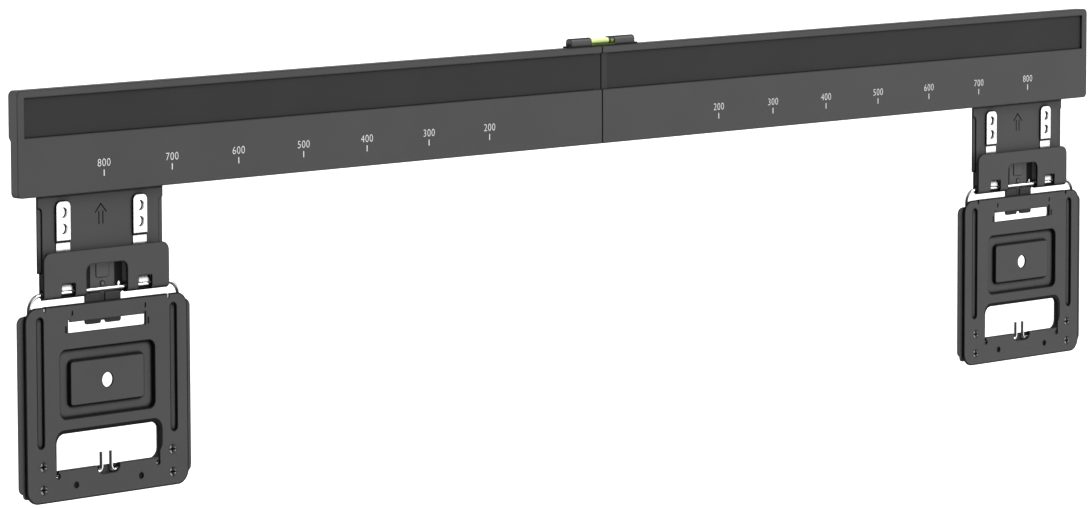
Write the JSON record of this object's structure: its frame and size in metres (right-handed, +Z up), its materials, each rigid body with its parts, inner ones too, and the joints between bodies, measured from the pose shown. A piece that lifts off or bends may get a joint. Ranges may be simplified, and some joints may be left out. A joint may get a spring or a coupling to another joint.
{
  "type": "tv wall mount",
  "caption": "Slim wall mount for a screen: a marked levelling bar with sliding hook plates, and screen plates hung on bent wires.",
  "frame": {"origin": "on the wall plane, behind the middle rib of the marked bar", "axes": "+X along the bar towards the right-hand marks, +Z up, +Y into the wall"},
  "size_m": [0.9232, 0.007, 0.2262],
  "materials": {
    "bar": "satin dark grey powder coat",
    "inlay": "matte charcoal strip",
    "level": "moulded dark grey",
    "vial": "clear tube with yellow-green fluid",
    "bracket": "satin dark grey powder coat",
    "bright": "bright zinc",
    "fork": "black",
    "screws": "black screws"
  },
  "bodies": {
    "bar": {"rail_left": "bar", "rail_right": "bar", "inlay_left": "inlay", "inlay_right": "inlay", "level_body": "level", "level_vial": "vial"},
    "hook_left": {"wall_plate_left": "bracket", "spring_left_a": "bright", "strip_cap_left_a": "bright", "spring_left_b": "bright", "strip_cap_left_b": "bright", "stop_fork_left": "fork", "fork_stud_left": "fork"},
    "screen_left": {"tv_plate_front_left": "bracket", "tv_plate_rear_left": "bracket", "wire_bail_left": "bright", "tv_spacers_left": "screws", "tv_screws_left": "screws"},
    "hook_right": {"wall_plate_right": "bracket", "spring_right_a": "bright", "strip_cap_right_a": "bright", "spring_right_b": "bright", "strip_cap_right_b": "bright", "stop_fork_right": "fork", "fork_stud_right": "fork"},
    "screen_right": {"tv_plate_front_right": "bracket", "tv_plate_rear_right": "bracket", "wire_bail_right": "bright", "tv_spacers_right": "screws", "tv_screws_right": "screws"}
  },
  "joints": [
    {"name": "slide_left", "type": "slide", "parent": "bar", "child": "hook_left", "axis": [1, 0, 0], "range_m": [-0.0026, 0.2974]},
    {"name": "swing_left", "type": "hinge", "parent": "hook_left", "child": "screen_left", "pos_m": [-0.3974, -0.00315, -0.0974], "axis": [-1, 0, 0], "range_deg": [0, 12]},
    {"name": "slide_right", "type": "slide", "parent": "bar", "child": "hook_right", "axis": [-1, 0, 0], "range_m": [-0.0026, 0.2974]},
    {"name": "swing_right", "type": "hinge", "parent": "hook_right", "child": "screen_right", "pos_m": [0.3974, -0.00315, -0.0974], "axis": [-1, 0, 0], "range_deg": [0, 12]}
  ]
}
